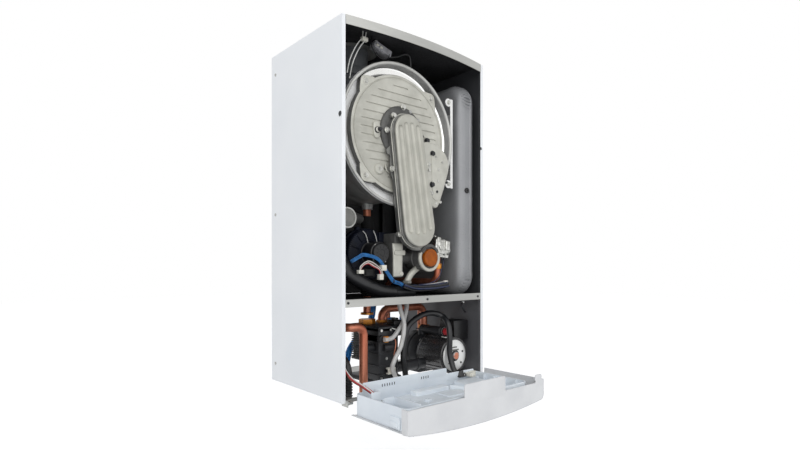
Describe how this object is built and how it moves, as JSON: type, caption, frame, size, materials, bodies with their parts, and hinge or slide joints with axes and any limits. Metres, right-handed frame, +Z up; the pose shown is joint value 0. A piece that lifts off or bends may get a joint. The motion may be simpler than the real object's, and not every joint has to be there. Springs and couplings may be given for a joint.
{
  "type": "wall-hung gas boiler",
  "caption": "Wall-hung condensing gas boiler with its front cover off: round exchanger, ribbed burner duct, fan, vessel and pump, control tray folded down.",
  "frame": {"origin": "on the wall plane, at the middle of the back panel, level with the tops of its two hanging slots", "axes": "+Z up, +Y into the wall, front towards -Y, +X to the right when seen from the front"},
  "size_m": [0.4, 0.478, 0.8426],
  "materials": {
    "casing_white": "semi-gloss powder coat",
    "casing_grey": "satin",
    "inner_panel": "satin",
    "stainless": "brushed",
    "cast_alloy": "cast, bead blasted",
    "seal": "matte",
    "black_plastic": "satin",
    "dark_metal": "satin",
    "wheel_plastic": "satin",
    "orange_plastic": "satin",
    "copper": "bright copper tube",
    "brass": "machined",
    "vessel_paint": "satin enamel",
    "flue_plastic": "satin",
    "unit_grey": "satin",
    "ceramic_white": "glazed",
    "wiring_black": "matte",
    "wiring_grey": "matte",
    "hose_grey": "matte",
    "azure_plastic": "satin",
    "red_plastic": "satin",
    "fascia_plastic": "satin",
    "box_plastic": "satin",
    "board_green": "satin",
    "window_dark": "polished"
  },
  "bodies": {
    "casing": {"side_panel_left": "casing_white", "side_panel_right": "casing_white", "top_panel": "casing_grey", "front_rail": "casing_grey", "bottom_frame": "casing_grey", "back_panel": "inner_panel", "chamber_floor": "inner_panel", "exchanger_drum": "stainless", "exchanger_front_ring": "stainless", "exchanger_bracket_left": "stainless", "exchanger_bracket_right": "stainless", "burner_tube": "stainless", "plate_exchanger": "stainless", "burner_door": "cast_alloy", "burner_manifold": "cast_alloy", "manifold_cover": "cast_alloy", "mixer_body": "cast_alloy", "gas_valve": "cast_alloy", "door_gasket": "seal", "black_hose": "seal", "fan_housing": "black_plastic", "condensate_trap": "black_plastic", "diverter_motor": "black_plastic", "pump_terminal_box": "black_plastic", "hydraulic_block": "black_plastic", "fan_motor": "dark_metal", "pump_body": "dark_metal", "pump_motor": "dark_metal", "mixer_cap": "orange_plastic", "gas_pipe": "copper", "vessel_pipe": "copper", "return_pipe": "copper", "flow_pipe": "copper", "arch_pipe": "copper", "return_pipe_nut": "brass", "expansion_vessel": "vessel_paint", "flue_duct": "flue_plastic", "flue_socket": "flue_plastic", "ignition_unit": "unit_grey", "ignition_electrode": "ceramic_white", "chamber_wiring": "wiring_black", "pump_cable": "wiring_black", "tray_wiring": "wiring_black", "ignition_lead": "wiring_grey", "grey_hose_front": "hose_grey", "grey_hose_side": "hose_grey", "cold_water_pipe": "azure_plastic"},
    "control_tray": {"control_fascia": "fascia_plastic", "control_box": "box_plastic", "board_cover": "box_plastic", "circuit_board": "board_green", "display_window": "window_dark"},
    "fan_wheel": {"fan_impeller": "wheel_plastic"},
    "pump_wheel": {"pump_rotor": "wheel_plastic"},
    "vent_screw": {"vent_screw": "brass"},
    "relief_knob": {"relief_knob": "red_plastic"},
    "filling_knob": {"filling_knob": "azure_plastic"},
    "temperature_knob_left": {"temperature_knob_left": "fascia_plastic"},
    "temperature_knob_right": {"temperature_knob_right": "fascia_plastic"},
    "mode_button": {"mode_button": "fascia_plastic"}
  },
  "joints": [
    {"name": "control_tray_hinge", "type": "hinge", "parent": "casing", "child": "control_tray", "pos_m": [0, -0.298, -0.7], "axis": [-1, 0, 0], "range_deg": [0, 90], "deforming": ["pump_cable", "tray_wiring"]},
    {"name": "fan_spin", "type": "hinge", "parent": "casing", "child": "fan_wheel", "pos_m": [-0.077, -0.194, -0.41], "axis": [0, -1, 0], "continuous": true},
    {"name": "pump_spin", "type": "hinge", "parent": "casing", "child": "pump_wheel", "pos_m": [0.13, -0.172, -0.648], "axis": [0, -1, 0], "continuous": true},
    {"name": "vent_screw_turn", "type": "hinge", "parent": "casing", "child": "vent_screw", "pos_m": [0.13, -0.273, -0.648], "axis": [0, -1, 0], "range_deg": [0, 360]},
    {"name": "relief_knob_turn", "type": "hinge", "parent": "casing", "child": "relief_knob", "pos_m": [0.117, -0.256, -0.592], "axis": [0, -1, 0], "range_deg": [0, 90]},
    {"name": "filling_knob_turn", "type": "hinge", "parent": "casing", "child": "filling_knob", "pos_m": [0.037, -0.151, -0.567], "axis": [0, 0, 1], "range_deg": [0, 360]},
    {"name": "temperature_knob_left_turn", "type": "hinge", "parent": "control_tray", "child": "temperature_knob_left", "pos_m": [-0.118, -0.396, -0.737], "axis": [0, 0, -1], "range_deg": [0, 270]},
    {"name": "temperature_knob_right_turn", "type": "hinge", "parent": "control_tray", "child": "temperature_knob_right", "pos_m": [-0.054, -0.396, -0.737], "axis": [0, 0, -1], "range_deg": [0, 270]},
    {"name": "mode_button_press", "type": "slide", "parent": "control_tray", "child": "mode_button", "axis": [0, 0, 1], "range_m": [0, 0.0015], "stiffness_N_per_m": 800, "springref_m": -0.0005}
  ]
}
